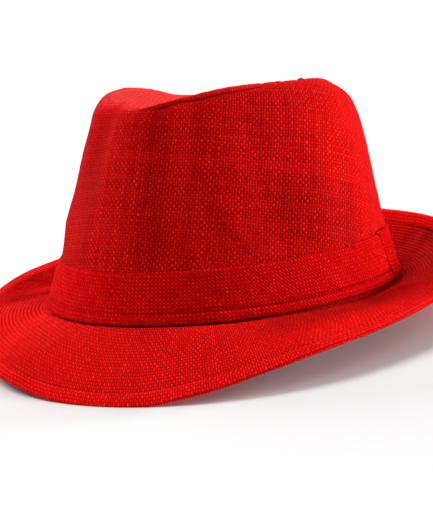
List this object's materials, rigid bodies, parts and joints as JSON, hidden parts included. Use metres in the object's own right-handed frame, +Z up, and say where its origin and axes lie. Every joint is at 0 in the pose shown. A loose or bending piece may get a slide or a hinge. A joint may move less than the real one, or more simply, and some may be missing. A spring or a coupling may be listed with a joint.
{
  "type": "trilby hat",
  "caption": "Soft woven trilby hat with a pinched, dented crown, a short brim turned down in front and up at the back, and a self-fabric band with a folded end and knot.",
  "frame": {"origin": "on the surface the hat rests on, below the middle of its overall length and width", "axes": "+Z up from the surface; the front of the hat looks along -Y and the wearer's left is +X; the front of the brim and the back of the crown's base rest at Z = 0"},
  "size_m": [0.2606, 0.2678, 0.1282],
  "materials": {
    "crown_cloth": "matte plain weave",
    "brim_cloth": "matte plain weave",
    "band_cloth": "matte plain weave"
  },
  "bodies": {
    "root": {"crown_side": "crown_cloth", "crown_tip": "crown_cloth", "brim": "brim_cloth", "hat_band": "band_cloth", "band_fold": "band_cloth", "band_knot": "band_cloth"}
  },
  "joints": []
}
